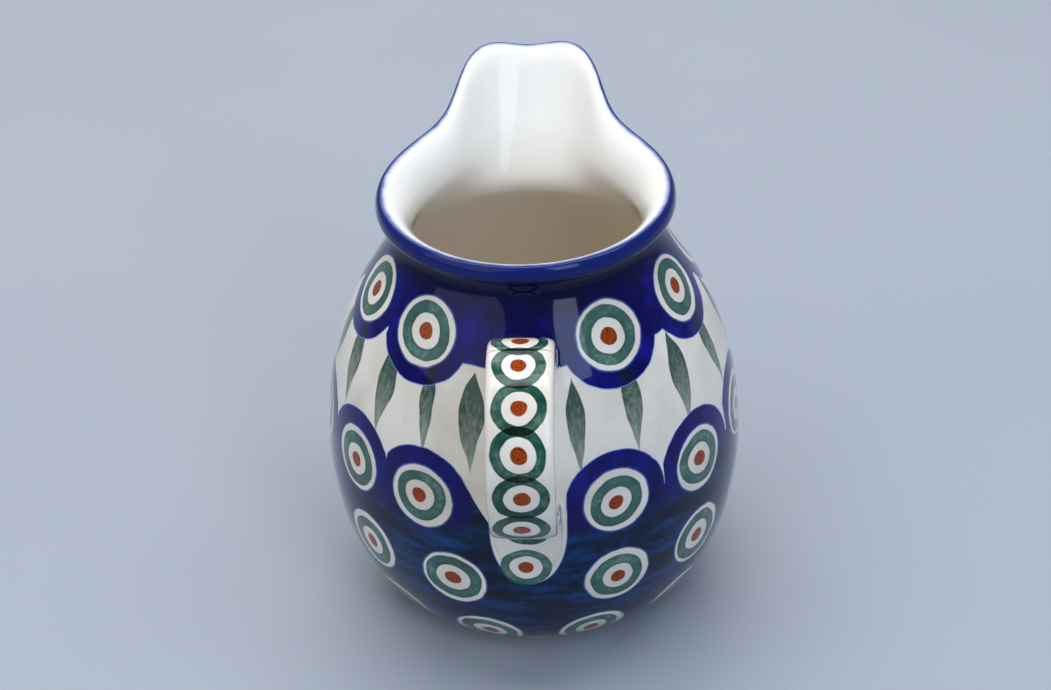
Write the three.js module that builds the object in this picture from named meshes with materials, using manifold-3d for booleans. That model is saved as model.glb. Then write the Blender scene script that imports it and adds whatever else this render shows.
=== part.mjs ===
// A stoneware pouring jug with a pear-shaped belly, a flared lip drawn out into a spout,
// and a strap handle luted on with slip. Millimetres, +Z up. The jug stands on its foot
// ring, the spout points along +Y and the handle along -Y. The origin is on the ground,
// midway between the outermost point of the handle and the tip of the spout.
import * as THREE from 'three';
import { mergeVertices } from 'three/addons/utils/BufferGeometryUtils.js';
import Module from 'manifold-3d';

// ---- Driving dimensions --------------------------------------------------------------

// Thrown body, outside.
const footRadius = 39.4;          // outer edge of the foot ring
const footWidth = 6;              // flat bearing face of the foot ring
const footBand = 1.6;             // upright edge of the foot ring
const footRecess = 2.5;           // hollow under the floor, inside the ring
const bellyRadius = 58.3;         // widest point
const bellyHeight = 46.4;         // height of the widest point
const rimHeight = 126;            // crest of the lip, away from the spout
const neckRadius = 34.8;          // narrowest point
const neckDrop = 9.5;             // neck below the crest
const lipOverhang = 5.6;          // outermost point of the lip beyond the neck
const lipDrop = 3.6;              // outermost point of the lip below the crest
const crestInset = 1.9;           // crest of the lip inside its outermost point

// Thrown body, inside.
const bellyWall = 5;
const neckWall = 3.8;
const throatDrop = 2;             // narrowest inside point below the neck
const floorThickness = 5;
const floorFlat = 24;             // radius of the flat middle of the floor

// Spout.
const spoutOverhang = 21.1;       // tip beyond the outermost point of the lip
const spoutRise = 13;             // corners of the tip above the crest of the lip
const spoutDip = 2.2;             // middle of the tip below its corners
const spoutDepth = 25;            // start of the spout below the crest of the lip
const spoutHalfAngle = 24;        // half angle at half the reach, seen from above, degrees
const spoutSquareness = 4.6;      // how square the tip is, seen from above
const spoutDipWidth = 0.35;       // half width of the dip, as a share of the half angle

// Strap handle.
const handleProjection = 28.8;    // outermost point beyond the widest point of the belly
const handleLoopRadius = 26.8;    // outside of the round of the loop
const handleDrop = 10.6;          // top of the loop below the crest of the lip
const strapWidth = 17.3;
const strapThickness = 7;
const strapEdge = 1.6;            // rounded edges of the strap
const upperRootDrop = 25.5;       // upper root below the crest of the lip
const loopEnd = 76;               // the loop ends this far below level, degrees
const lowerRootHeight = 37;       // tip of the lower root above the ground
const rootFlare = 1.16;           // widening of the strap where it meets the body
const rootFlareDepth = 9;         // how far from the body the widening starts
const tongueLength = 17;          // rounded end of the strap, down the belly
const tongueTip = 0.02;           // blunt tip of that end, as a share of its length

// Slip that lutes the handle to the body.
const slipThickness = 0.9;
const slipOverhang = 0.8;         // slip squeezed out beyond the strap
const jointGap = 0.3;             // clearance between neighbouring pieces

// Fullness of the curves: how far each end's tangent carries, as a share of the curve.
const footSpread = 0.58;          // outwards from the foot
const footClimb = 0.13;           // upwards from the foot
const bellyPull = 0.5;            // down from the widest point
const shoulderPull = 0.642;       // up from the widest point
const neckPull = 0.114;           // down from the neck
const flarePull = 0.55;           // up from the neck to the lip
const lipPull = 0.3;              // down from the lip to the neck
const rollPull = 0.65;            // up from the lip to the crest
const crestPull = 0.55;           // out from the crest to the lip
const throatPull = 0.75;          // up from the throat to the crest
const floorPull = 0.74;           // out from the floor to the inside of the wall
const wallPull = 0.55;            // down from the widest point inside
const handleRise = 0.6;           // up from the upper root to the top of the loop
const handleRun = 0.4;            // back from the top of the loop to the upper root
const tonguePull = 0.6;           // up from the lower tip to the loop
const loopPull = 0.3;             // on from the end of the loop to the lower tip

// Fineness of the solids.
const turnSegments = 72;
const strapSteps = 44;
const bellySteps = 8;
const shoulderSteps = 12;
const lipSteps = 4;
const slopeSteps = 6;
const edgeSteps = 3;
const mergeDistance = 1e-4;

// ---- Worked-out dimensions -----------------------------------------------------------

const neckHeight = rimHeight - neckDrop;
const lipHeight = rimHeight - lipDrop;
const lipRadius = neckRadius + lipOverhang;
const crestRadius = lipRadius - crestInset;
const throatRadius = neckRadius - neckWall;
const throatHeight = neckHeight - throatDrop;
const floorHeight = footRecess + floorThickness;
const loopCentreRadius = bellyRadius + handleProjection - handleLoopRadius;
const loopCentreHeight = rimHeight - handleDrop - handleLoopRadius;
const strapLoopRadius = handleLoopRadius - strapThickness / 2;
const handleReach = bellyRadius + handleProjection;
const frontReach = Math.max(lipRadius + spoutOverhang, bellyRadius);
const axisY = (handleReach - frontReach) / 2;

// ---- Materials -----------------------------------------------------------------------

const glazedBlue = new THREE.MeshStandardMaterial({ color: 0x14235c, roughness: 0.12, metalness: 0 });
const glazedCream = new THREE.MeshStandardMaterial({ color: 0xdcd8d2, roughness: 0.12, metalness: 0 });
const slipGrey = new THREE.MeshStandardMaterial({ color: 0xcfc8bd, roughness: 0.3, metalness: 0 });

// ---- Outlines of the body, as radius against height -----------------------------------

// A curve that leaves the first point and reaches the second one upright.
function uprightCurve(from, to, pullFrom, pullTo) {
  const rise = to.y - from.y;
  const leave = new THREE.Vector2(from.x, from.y + rise * pullFrom);
  const reach = new THREE.Vector2(to.x, to.y - rise * pullTo);
  return new THREE.CubicBezierCurve(from, leave, reach, to);
}

// Joins curves into one list of points, without repeating the shared ends.
function chain(parts) {
  const points = [];
  for (const { curve, steps } of parts) {
    const piece = curve.getPoints(steps);
    points.push(...(points.length ? piece.slice(1) : piece));
  }
  return points;
}

const footEdge = new THREE.Vector2(footRadius, footBand);
const belly = new THREE.Vector2(bellyRadius, bellyHeight);
const neck = new THREE.Vector2(neckRadius, neckHeight);
const lip = new THREE.Vector2(lipRadius, lipHeight);
const crest = new THREE.Vector2(crestRadius, rimHeight);
const throat = new THREE.Vector2(throatRadius, throatHeight);
const bellyInside = new THREE.Vector2(bellyRadius - bellyWall, bellyHeight);
const floorEdge = new THREE.Vector2(floorFlat, floorHeight);

// From the foot ring up to the neck, outside.
function outerOutline() {
  const belowBelly = bellyHeight - footBand;
  const bulge = bellyRadius - footRadius;
  const leaveFoot = new THREE.Vector2(footRadius + bulge * footSpread, footBand + belowBelly * footClimb);
  const reachBelly = new THREE.Vector2(bellyRadius, bellyHeight - belowBelly * bellyPull);
  const lower = new THREE.CubicBezierCurve(footEdge, leaveFoot, reachBelly, belly);
  const shoulder = uprightCurve(belly, neck, shoulderPull, neckPull);
  return chain([{ curve: lower, steps: bellySteps }, { curve: shoulder, steps: shoulderSteps }]);
}

// From the neck over the lip and down to the throat.
function lipOutline() {
  const flare = uprightCurve(neck, lip, flarePull, lipPull);
  const outerCorner = new THREE.Vector2(lipRadius, lipHeight + lipDrop * rollPull);
  const crestStart = new THREE.Vector2(crestRadius + crestInset * crestPull, rimHeight);
  const roll = new THREE.CubicBezierCurve(lip, outerCorner, crestStart, crest);
  const crestEnd = new THREE.Vector2(crestRadius - crestInset, rimHeight);
  const throatStart = new THREE.Vector2(throatRadius, throatHeight + neckDrop * throatPull);
  const slope = new THREE.CubicBezierCurve(crest, crestEnd, throatStart, throat);
  return chain([
    { curve: flare, steps: lipSteps },
    { curve: roll, steps: lipSteps },
    { curve: slope, steps: slopeSteps },
  ]);
}

// From the throat down to the middle of the floor, inside.
function innerOutline() {
  const shoulder = uprightCurve(bellyInside, throat, shoulderPull, neckPull);
  const wallStart = new THREE.Vector2(bellyInside.x, bellyHeight - (bellyHeight - floorHeight) * wallPull);
  const floorEnd = new THREE.Vector2(floorFlat + (bellyInside.x - floorFlat) * floorPull, floorHeight);
  const lower = new THREE.CubicBezierCurve(floorEdge, floorEnd, wallStart, bellyInside);
  const upward = chain([{ curve: lower, steps: bellySteps }, { curve: shoulder, steps: bellySteps }]);
  return [new THREE.Vector2(0, floorHeight), ...upward].reverse();
}

const ringInside = footRadius - footWidth;
const underside = [
  new THREE.Vector2(0, footRecess),
  new THREE.Vector2(ringInside - footRecess / 2, footRecess),
  new THREE.Vector2(ringInside, 0),
  new THREE.Vector2(footRadius - footBand / 2, 0),
  new THREE.Vector2(footRadius, footBand / 2),
];

// ---- Solids ----------------------------------------------------------------------------

// Turns an outline of radius against height about the jug's axis.
function turned(outline) {
  const geometry = new THREE.LatheGeometry(outline, turnSegments);
  geometry.rotateX(Math.PI / 2);
  geometry.translate(0, axisY, 0);
  return geometry;
}

// How far the spout reaches and rises, against the angle from the middle of the spout.
function spoutShape(angle) {
  const turn = Math.abs(angle) / THREE.MathUtils.degToRad(spoutHalfAngle);
  const share = 1 / (1 + turn ** spoutSquareness);
  const hollow = Math.exp(-((turn / spoutDipWidth) ** 2));
  return {
    reach: share * spoutOverhang,
    rise: share * (spoutRise - spoutDip * hollow),
  };
}

// Draws the spout out of the turned body: outwards and upwards, more towards the lip.
function drawSpout(geometry) {
  const position = geometry.attributes.position;
  for (let i = 0; i < position.count; i++) {
    const x = position.getX(i);
    const y = position.getY(i) - axisY;
    const z = position.getZ(i);
    const radius = Math.hypot(x, y);
    const climb = THREE.MathUtils.smoothstep(z, rimHeight - spoutDepth, lipHeight);
    if (climb > 0 && radius > 0) {
      const { reach, rise } = spoutShape(Math.atan2(x, y));
      const stretch = 1 + (reach * climb) / radius;
      position.setXYZ(i, x * stretch, y * stretch + axisY, z + rise * climb * climb);
    }
  }
  return geometry;
}

// The outside of the body, without the spout, grown outwards by a clearance.
function grownBody(clearance) {
  const outline = outerOutline();
  const grown = outline.map((point, i) => {
    const before = outline[Math.max(i - 1, 0)];
    const after = outline[Math.min(i + 1, outline.length - 1)];
    const along = after.clone().sub(before).normalize();
    return new THREE.Vector2(point.x + along.y * clearance, point.y - along.x * clearance);
  });
  const bottom = new THREE.Vector2(0, grown[0].y);
  const top = new THREE.Vector2(0, grown[grown.length - 1].y);
  return turned([bottom, ...grown, top]);
}

// Radius of the outside of the body at a height between the foot and the neck.
function bodyRadiusAt(height) {
  const outline = outerOutline();
  const above = Math.max(outline.findIndex((point) => point.y >= height), 1);
  const upper = outline[above];
  const lower = outline[above - 1];
  const share = (height - lower.y) / (upper.y - lower.y);
  return THREE.MathUtils.lerp(lower.x, upper.x, share);
}

// ---- Handle ----------------------------------------------------------------------------

// The middle line of the strap, in the plane of the handle and the spout. It leaves the
// shoulder outwards, goes round the loop and slides down the belly into it.
function strapOutline() {
  const upperHeight = rimHeight - upperRootDrop;
  const upperRadius = bodyRadiusAt(upperHeight);
  const span = loopCentreRadius - upperRadius;
  const topHeight = loopCentreHeight + strapLoopRadius;
  const climb = topHeight - upperHeight;
  const endAngle = -THREE.MathUtils.degToRad(loopEnd);
  const endRadius = loopCentreRadius + strapLoopRadius * Math.cos(endAngle);
  const endHeight = loopCentreHeight + strapLoopRadius * Math.sin(endAngle);
  const fall = endHeight - lowerRootHeight;
  const lowerRadius = bodyRadiusAt(lowerRootHeight) - strapThickness / 2;
  const path = new THREE.Path();
  path.moveTo(upperRadius - strapThickness, upperHeight - strapThickness / 2);
  path.lineTo(upperRadius, upperHeight);
  path.bezierCurveTo(
    upperRadius + span * (1 - handleRise), upperHeight + climb * handleRise,
    loopCentreRadius - span * handleRun, topHeight,
    loopCentreRadius, topHeight,
  );
  path.absarc(loopCentreRadius, loopCentreHeight, strapLoopRadius, Math.PI / 2, endAngle, true);
  path.bezierCurveTo(
    endRadius + fall * loopPull * Math.sin(endAngle), endHeight - fall * loopPull * Math.cos(endAngle),
    lowerRadius + strapThickness / 3, lowerRootHeight + fall * tonguePull,
    lowerRadius, lowerRootHeight,
  );
  return path;
}

// Carries the strap's middle line into space.
class StrapLine extends THREE.Curve {
  constructor(outline) {
    super();
    this.outline = outline;
  }

  getPoint(share) {
    const point = this.outline.getPoint(share);
    return new THREE.Vector3(0, axisY - point.x, point.y);
  }
}

// Section of the strap: a rectangle with rounded edges, width along x.
function strapSection(overhang) {
  const halfWidth = strapWidth / 2 + overhang;
  const halfThickness = strapThickness / 2 + overhang;
  const edge = strapEdge + overhang;
  const section = new THREE.Shape();
  const corners = [[1, 1, 0], [-1, 1, 1], [-1, -1, 2], [1, -1, 3]];
  for (const [sideX, sideY, quarter] of corners) {
    const start = (quarter * Math.PI) / 2;
    const centreX = sideX * (halfWidth - edge);
    const centreY = sideY * (halfThickness - edge);
    section.absarc(centreX, centreY, edge, start, start + Math.PI / 2, false);
  }
  return section;
}

// Sweeps the strap along its middle line, widens it near the body and rounds its lower end.
function strap(overhang) {
  const geometry = new THREE.ExtrudeGeometry(strapSection(overhang), {
    extrudePath: new StrapLine(strapOutline()),
    steps: strapSteps,
    curveSegments: edgeSteps,
  });
  const position = geometry.attributes.position;
  for (let i = 0; i < position.count; i++) {
    const height = THREE.MathUtils.clamp(position.getZ(i), footBand, neckHeight);
    const away = axisY - position.getY(i) - bodyRadiusAt(height);
    const nearness = 1 - THREE.MathUtils.smoothstep(away, 0, rootFlareDepth);
    const climb = (position.getZ(i) - lowerRootHeight) / tongueLength;
    const alongTongue = THREE.MathUtils.clamp(climb, tongueTip, 1);
    const tongue = Math.sqrt(1 - (1 - alongTongue) ** 2);
    position.setX(i, position.getX(i) * THREE.MathUtils.lerp(1, rootFlare, nearness) * tongue);
  }
  return geometry;
}

// ---- Joining and cutting -----------------------------------------------------------------

const wasm = await Module();
wasm.setup();

function solidFrom(geometry) {
  const bare = geometry.index ? geometry.toNonIndexed() : geometry.clone();
  bare.deleteAttribute('normal');
  bare.deleteAttribute('uv');
  const merged = mergeVertices(bare, mergeDistance);
  const vertProperties = new Float32Array(merged.attributes.position.array);
  const corners = merged.index.array;
  const triVerts = [];
  for (let i = 0; i < corners.length; i += 3) {
    const [a, b, c] = corners.subarray(i, i + 3);
    if (a !== b && b !== c && c !== a) {
      triVerts.push(a, b, c);
    }
  }
  const mesh = new wasm.Mesh({ numProp: 3, vertProperties, triVerts: new Uint32Array(triVerts) });
  return new wasm.Manifold(mesh);
}

function geometryFrom(solid) {
  const mesh = solid.getMesh();
  const geometry = new THREE.BufferGeometry();
  geometry.setAttribute('position', new THREE.BufferAttribute(new Float32Array(mesh.vertProperties), 3));
  geometry.setIndex(new THREE.BufferAttribute(new Uint32Array(mesh.triVerts), 1));
  geometry.computeVertexNormals();
  return geometry;
}

// ---- The jug -------------------------------------------------------------------------------

const jug = new THREE.Group();

function addPiece(name, geometry, material) {
  const mesh = new THREE.Mesh(geometry, material);
  mesh.name = name;
  jug.add(mesh);
}

const bodyOutline = [
  ...underside,
  ...outerOutline(),
  ...lipOutline().slice(1),
  ...innerOutline().slice(1),
];
addPiece('body', drawSpout(turned(bodyOutline)), glazedBlue);

const slipOutside = jointGap + slipThickness;
const bareStrap = solidFrom(strap(0));
const handle = bareStrap.subtract(solidFrom(grownBody(slipOutside + jointGap)));
addPiece('handle', geometryFrom(handle), glazedCream);

const slipLayer = solidFrom(grownBody(slipOutside)).subtract(solidFrom(grownBody(jointGap)));
const slip = solidFrom(strap(slipOverhang)).intersect(slipLayer);
const [upperSlip, lowerSlip] = slip.splitByPlane([0, 0, 1], loopCentreHeight);
addPiece('upper_joint_slip', geometryFrom(upperSlip), slipGrey);
addPiece('lower_joint_slip', geometryFrom(lowerSlip), slipGrey);

export default jug;
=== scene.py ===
# Looks of a hand-painted stoneware pouring jug: a turned body drawn out into a spout, and a
# strap handle luted on with slip. Metres, +Z up, spout along +Y, handle along -Y.
import math

import bmesh
import bpy
import numpy as np
from mathutils import Matrix, Vector
from mathutils.bvhtree import BVHTree


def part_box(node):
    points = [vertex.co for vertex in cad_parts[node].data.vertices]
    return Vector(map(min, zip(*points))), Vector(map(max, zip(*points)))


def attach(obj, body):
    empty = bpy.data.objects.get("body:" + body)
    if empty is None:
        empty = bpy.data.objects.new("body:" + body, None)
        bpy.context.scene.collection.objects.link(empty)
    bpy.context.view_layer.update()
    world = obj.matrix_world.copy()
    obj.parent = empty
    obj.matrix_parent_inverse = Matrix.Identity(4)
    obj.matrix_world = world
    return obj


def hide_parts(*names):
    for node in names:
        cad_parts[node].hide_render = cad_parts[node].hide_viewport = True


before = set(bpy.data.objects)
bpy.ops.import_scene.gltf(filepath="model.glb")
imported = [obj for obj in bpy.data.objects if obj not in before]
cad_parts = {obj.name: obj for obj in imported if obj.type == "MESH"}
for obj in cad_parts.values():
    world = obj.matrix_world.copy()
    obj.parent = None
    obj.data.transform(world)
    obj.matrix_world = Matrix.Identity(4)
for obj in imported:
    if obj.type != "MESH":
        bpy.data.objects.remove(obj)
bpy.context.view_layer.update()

MM = 0.001
FULL_TURN = 2 * math.pi

# ---- Sizes of the jug ----

body_low, body_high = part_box("body")
handle_low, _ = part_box("handle")

belly_radius = body_high.x
axis_y = body_low.y + belly_radius
handle_reach = axis_y - handle_low.y

BODY_SIZES = {
    "Axis Y": axis_y,
    "Foot radius": 39.4 * MM,
    "Foot width": 6 * MM,
    "Foot band": 1.6 * MM,
    "Foot recess": 2.5 * MM,
    "Foot rounding": 1.0 * MM,
    "Belly radius": belly_radius,
    "Belly height": 46.4 * MM,
    "Rim height": 126 * MM,
    "Neck radius": 34.8 * MM,
    "Neck drop": 9.5 * MM,
    "Lip overhang": 5.6 * MM,
    "Lip drop": 3.6 * MM,
    "Crest inset": 1.9 * MM,
    "Belly wall": 5 * MM,
    "Neck wall": 3.8 * MM,
    "Throat drop": 2 * MM,
    "Floor thickness": 5 * MM,
    "Floor flat": 24 * MM,
    "Spout overhang": 21.1 * MM,
    "Spout rise": 12.95 * MM,
    "Spout dip": 2.2 * MM,
    "Spout depth": 25 * MM,
    "Spout half angle": math.radians(24),
    "Spout squareness": 4.6,
    "Spout dip width": 0.35,
    "Columns around": 256.0,
}

# How far the ends of a curve carry their direction, as a share of the curve.
FOOT_SPREAD, FOOT_CLIMB, BELLY_PULL = 0.58, 0.13, 0.5
SHOULDER_PULL, NECK_PULL = 0.642, 0.114
FLARE_PULL, LIP_PULL, ROLL_PULL, CREST_PULL = 0.55, 0.3, 0.65, 0.55
THROAT_PULL, FLOOR_PULL, WALL_PULL = 0.75, 0.74, 0.55
HANDLE_RISE, HANDLE_RUN, TONGUE_PULL, LOOP_PULL = 0.6, 0.4, 0.6, 0.3
FOOT_ROUND_PULL = 0.4

# How many straight steps a curve and the loop of the handle are drawn with.
CURVE_STEPS, LOOP_STEPS = 96, 120

# How closely the rows of a surface follow each other.
FINE_ROWS = 0.45 * MM
WALL_ROWS = 1.1 * MM
FLOOR_ROWS = 2.2 * MM
STRAP_ROWS = 0.7 * MM

# How near two points are when the parts of a surface are welded into one skin.
BODY_SEAM, STRAP_SEAM = 0.01 * MM, 0.03 * MM

GLAZE_MAP = "glaze_map"
STRAP_MAP = "strap_map"
BEAD_MAP = "bead_map"

# ---- Building nodes ----


class Value:
    """One output of a node. Arithmetic on it adds Math nodes to its tree."""

    def __init__(self, maker, socket):
        self.maker = maker
        self.socket = socket

    def also(self, name):
        return Value(self.maker, self.socket.node.outputs[name])

    def __add__(self, other):
        return self.maker.math("ADD", self, other)

    def __radd__(self, other):
        return self.maker.math("ADD", other, self)

    def __sub__(self, other):
        return self.maker.math("SUBTRACT", self, other)

    def __rsub__(self, other):
        return self.maker.math("SUBTRACT", other, self)

    def __mul__(self, other):
        return self.maker.math("MULTIPLY", self, other)

    def __rmul__(self, other):
        return self.maker.math("MULTIPLY", other, self)

    def __truediv__(self, other):
        return self.maker.math("DIVIDE", self, other)

    def __rtruediv__(self, other):
        return self.maker.math("DIVIDE", other, self)

    def __pow__(self, other):
        return self.maker.math("POWER", self, other)

    def __mod__(self, other):
        return self.maker.math("FLOORED_MODULO", self, other)

    def __gt__(self, other):
        return self.maker.math("GREATER_THAN", self, other)

    def __lt__(self, other):
        return self.maker.math("LESS_THAN", self, other)

    def __neg__(self):
        return self.maker.math("MULTIPLY", self, -1)

    def __abs__(self):
        return self.maker.math("ABSOLUTE", self)


class Maker:
    """Adds nodes to one tree, for a surface finish or for a shape."""

    def __init__(self, tree):
        self.tree = tree
        tree.nodes.clear()

    def feed(self, socket, value):
        if isinstance(value, Value):
            self.tree.links.new(value.socket, socket)
        elif value is not None:
            socket.default_value = value

    def node(self, kind, settings=None, values=None, out=0):
        node = self.tree.nodes.new(kind)
        for name, setting in (settings or {}).items():
            if name == "stops":
                self.set_stops(node.color_ramp, setting)
            elif name == "interpolation":
                node.color_ramp.interpolation = setting
            else:
                setattr(node, name, setting)
        for name, value in (values or {}).items():
            for part in value if isinstance(value, list) else [value]:
                self.feed(node.inputs[name], part)
        return Value(self, node.outputs[out]) if len(node.outputs) else node

    def set_stops(self, ramp, stops):
        while len(ramp.elements) > 1:
            ramp.elements.remove(ramp.elements[-1])
        for number, (place, tint) in enumerate(stops):
            element = ramp.elements[0] if number == 0 else ramp.elements.new(place)
            element.position = place
            element.color = tint

    def math(self, operation, *values):
        return self.node("ShaderNodeMath", {"operation": operation}, dict(enumerate(values)))

    def vector(self, operation, *values, out=0):
        return self.node("ShaderNodeVectorMath", {"operation": operation}, dict(enumerate(values)), out)

    def scaled(self, vector, factor):
        return self.node("ShaderNodeVectorMath", {"operation": "SCALE"}, {"Vector": vector, "Scale": factor})

    def split(self, vector):
        first = self.node("ShaderNodeSeparateXYZ", {}, {"Vector": vector})
        return first, first.also("Y"), first.also("Z")

    def joined(self, x, y, z):
        return self.node("ShaderNodeCombineXYZ", {}, {"X": x, "Y": y, "Z": z})

    def mix(self, share, first, second):
        return self.node("ShaderNodeMix", {"data_type": "RGBA"}, {0: share, 6: first, 7: second}, 2)

    def multiplied(self, share, first, second):
        settings = {"data_type": "RGBA", "blend_type": "MULTIPLY"}
        return self.node("ShaderNodeMix", settings, {0: share, 6: first, 7: second}, 2)

    def smooth(self, value, start, end):
        """Goes softly from 0 at start to 1 at end."""
        settings = {"interpolation_type": "SMOOTHSTEP"}
        return self.node("ShaderNodeMapRange", settings, {0: value, 1: start, 2: end})

    def inside(self, distance, edge, softness):
        """1 where the distance is less than the edge, with a soft border."""
        return self.smooth(distance, edge + softness, edge - softness)

    def either(self, first, second):
        return self.math("MAXIMUM", first, second)

    def both(self, first, second):
        return self.math("MINIMUM", first, second)

    def noise(self, vector, scale, detail=2.0, roughness=0.5, out="Fac"):
        values = {"Vector": vector, "Scale": scale, "Detail": detail, "Roughness": roughness}
        return self.node("ShaderNodeTexNoise", {}, values, out)

    def surface(self, values):
        """The surface that the finish ends in."""
        coat = self.node("ShaderNodeBsdfPrincipled", {}, values)
        self.node("ShaderNodeOutputMaterial", {}, {"Surface": coat})

    def sizes(self, named):
        """One named input for each size, as a dictionary of values."""
        self.tree.interface.new_socket("Geometry", in_out="INPUT", socket_type="NodeSocketGeometry")
        for name in named:
            self.tree.interface.new_socket(name, in_out="INPUT", socket_type="NodeSocketFloat")
        entry = self.node("NodeGroupInput")
        return {name: entry.also(name) for name in named}

    def finish_shape(self, parts, seam, material):
        """Welds the parts of a surface into one skin and gives it its finish."""
        whole = self.node("GeometryNodeJoinGeometry", {}, {"Geometry": parts})
        welded = self.node("GeometryNodeMergeByDistance", {}, {"Geometry": whole, "Distance": seam})
        rounded = self.node("GeometryNodeSetShadeSmooth", {}, {"Geometry": welded})
        real = self.node("GeometryNodeRealizeInstances", {}, {"Geometry": rounded})
        coated = self.node("GeometryNodeSetMaterial", {}, {"Geometry": real, "Material": material})
        self.tree.interface.new_socket("Geometry", in_out="OUTPUT", socket_type="NodeSocketGeometry")
        self.node("NodeGroupOutput", {}, {"Geometry": coated})


def colour(red, green, blue):
    """A colour given as it looks on screen, 0 to 255, as the light it sends back."""

    def linear(channel):
        share = channel / 255
        return share / 12.92 if share <= 0.04045 else ((share + 0.055) / 1.055) ** 2.4

    return (linear(red), linear(green), linear(blue), 1)


# ---- Turning the body ----


def bezier(maker, start, leave, reach, end):
    """A curve in the upright plane of the axis, from points of radius and height."""
    names = ("Start", "Start Handle", "End Handle", "End")
    values = {name: maker.joined(*point) for name, point in zip(names, (start, leave, reach, end))}
    values["Resolution"] = CURVE_STEPS
    return maker.node("GeometryNodeCurvePrimitiveBezierSegment", {"mode": "POSITION"}, values)


def straight(maker, start, end):
    values = {"Start": maker.joined(*start), "End": maker.joined(*end)}
    return maker.node("GeometryNodeCurvePrimitiveLine", {"mode": "POINTS"}, values)


def sheet_of_points(maker, columns, length, spacing):
    """A flat grid to be bent: its share around, its share along, and the grid."""
    values = {"Size X": 1, "Size Y": 1, "Vertices X": columns + 1, "Vertices Y": length / spacing + 2}
    grid = maker.node("GeometryNodeMeshGrid", {}, values)
    place = maker.node("GeometryNodeInputPosition")
    across, along, _ = maker.split(place)
    return across + 0.5, along + 0.5, grid


def point_along(maker, curve, along):
    """The point of a curve at a share of its length."""
    values = {"Curves": curve, "Factor": along}
    return maker.node("GeometryNodeSampleCurve", {"mode": "FACTOR"}, values, "Position")


def bent_sheet(maker, grid, map_name, mapped, place):
    """The grid moved to its place in the shape, with its own map stored on it."""
    settings = {"data_type": "FLOAT2", "domain": "CORNER"}
    values = {"Geometry": grid, "Name": map_name, "Value": mapped}
    stored = maker.node("GeometryNodeStoreNamedAttribute", settings, values)
    return maker.node("GeometryNodeSetPosition", {}, {"Geometry": stored, "Position": place})


def upright(start, end, pull_start, pull_end):
    """Handles of a curve that leaves and arrives upright."""
    rise = end[2] - start[2]
    leave = (start[0], 0, start[2] + rise * pull_start)
    reach = (end[0], 0, end[2] - rise * pull_end)
    return start, leave, reach, end


def body_outline(maker, size):
    """The jug's outline as curves with their row spacing, from under the floor, round the foot,
    up the outside, over the lip and down the inside."""
    foot, band, recess = size["Foot radius"], size["Foot band"], size["Foot recess"]
    rounding, rim = size["Foot rounding"], size["Rim height"]
    ring = foot - size["Foot width"]
    belly_height = size["Belly height"]
    lip_radius = size["Neck radius"] + size["Lip overhang"]
    lip_height = rim - size["Lip drop"]
    neck_height = rim - size["Neck drop"]
    throat_height = neck_height - size["Throat drop"]
    floor_height = recess + size["Floor thickness"]
    inside = size["Belly radius"] - size["Belly wall"]
    flat = size["Floor flat"]

    foot_edge = (foot, 0, band)
    belly = (size["Belly radius"], 0, belly_height)
    neck = (size["Neck radius"], 0, neck_height)
    lip = (lip_radius, 0, lip_height)
    crest = (lip_radius - size["Crest inset"], 0, rim)
    throat = (size["Neck radius"] - size["Neck wall"], 0, throat_height)
    belly_inside = (inside, 0, belly_height)
    floor_edge = (flat, 0, floor_height)

    below = belly_height - band
    bulge = size["Belly radius"] - foot
    leave_foot = (foot + bulge * FOOT_SPREAD, 0, band + below * FOOT_CLIMB)
    reach_belly = (size["Belly radius"], 0, belly_height - below * BELLY_PULL)
    outer_corner = (lip_radius, 0, lip_height + size["Lip drop"] * ROLL_PULL)
    crest_start = (crest[0] + size["Crest inset"] * CREST_PULL, 0, rim)
    crest_end = (crest[0] - size["Crest inset"], 0, rim)
    throat_start = (throat[0], 0, throat_height + size["Neck drop"] * THROAT_PULL)
    wall_start = (inside, 0, belly_height - (belly_height - floor_height) * WALL_PULL)
    floor_end = (flat + (inside - flat) * FLOOR_PULL, 0, floor_height)

    start, leave, reach, end = upright(belly_inside, throat, SHOULDER_PULL, NECK_PULL)
    return [
        (straight(maker, (0, 0, recess), (ring - rounding * 2, 0, recess)), FLOOR_ROWS),
        (
            bezier(
                maker,
                (ring - rounding * 2, 0, recess),
                (ring - rounding, 0, recess),
                (ring - rounding, 0, 0),
                (ring + rounding, 0, 0),
            ),
            FINE_ROWS,
        ),
        (straight(maker, (ring + rounding, 0, 0), (foot - rounding, 0, 0)), WALL_ROWS),
        (
            bezier(
                maker,
                (foot - rounding, 0, 0),
                (foot - rounding * FOOT_ROUND_PULL, 0, 0),
                (foot, 0, rounding * FOOT_ROUND_PULL),
                (foot, 0, rounding),
            ),
            FINE_ROWS,
        ),
        (straight(maker, (foot, 0, rounding), foot_edge), FINE_ROWS),
        (bezier(maker, foot_edge, leave_foot, reach_belly, belly), WALL_ROWS),
        (bezier(maker, *upright(belly, neck, SHOULDER_PULL, NECK_PULL)), WALL_ROWS),
        (bezier(maker, *upright(neck, lip, FLARE_PULL, LIP_PULL)), FINE_ROWS),
        (bezier(maker, lip, outer_corner, crest_start, crest), FINE_ROWS),
        (bezier(maker, crest, crest_end, throat_start, throat), FINE_ROWS),
        (bezier(maker, end, reach, leave, start), WALL_ROWS),
        (bezier(maker, belly_inside, wall_start, floor_end, floor_edge), WALL_ROWS),
        (straight(maker, floor_edge, (0, 0, floor_height)), FLOOR_ROWS),
    ]


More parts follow.
